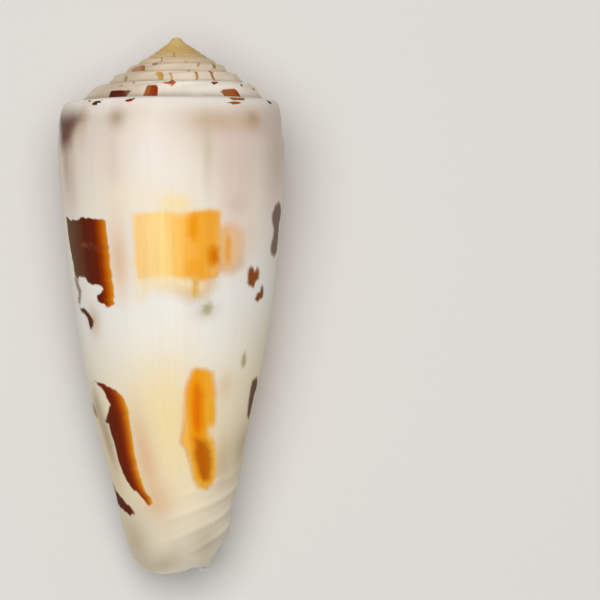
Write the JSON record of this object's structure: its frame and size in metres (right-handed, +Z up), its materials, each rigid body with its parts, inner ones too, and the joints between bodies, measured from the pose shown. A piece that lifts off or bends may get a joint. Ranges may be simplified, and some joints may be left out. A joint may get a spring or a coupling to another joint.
{
  "type": "governor cone shell",
  "caption": "Tall cone shell with a low stepped spire and a long narrow aperture, lying aperture side down.",
  "frame": {"origin": "on the surface that the shell lies on, under the middle of its bounding box", "axes": "+Y towards the apex, -Y towards the siphonal end, -X towards the outer lip, +Z up out of the shell's back"},
  "size_m": [0.0296, 0.07, 0.0275],
  "materials": {
    "porcelain_shell": "satin"
  },
  "bodies": {
    "root": {"shell": "porcelain_shell"}
  },
  "joints": []
}
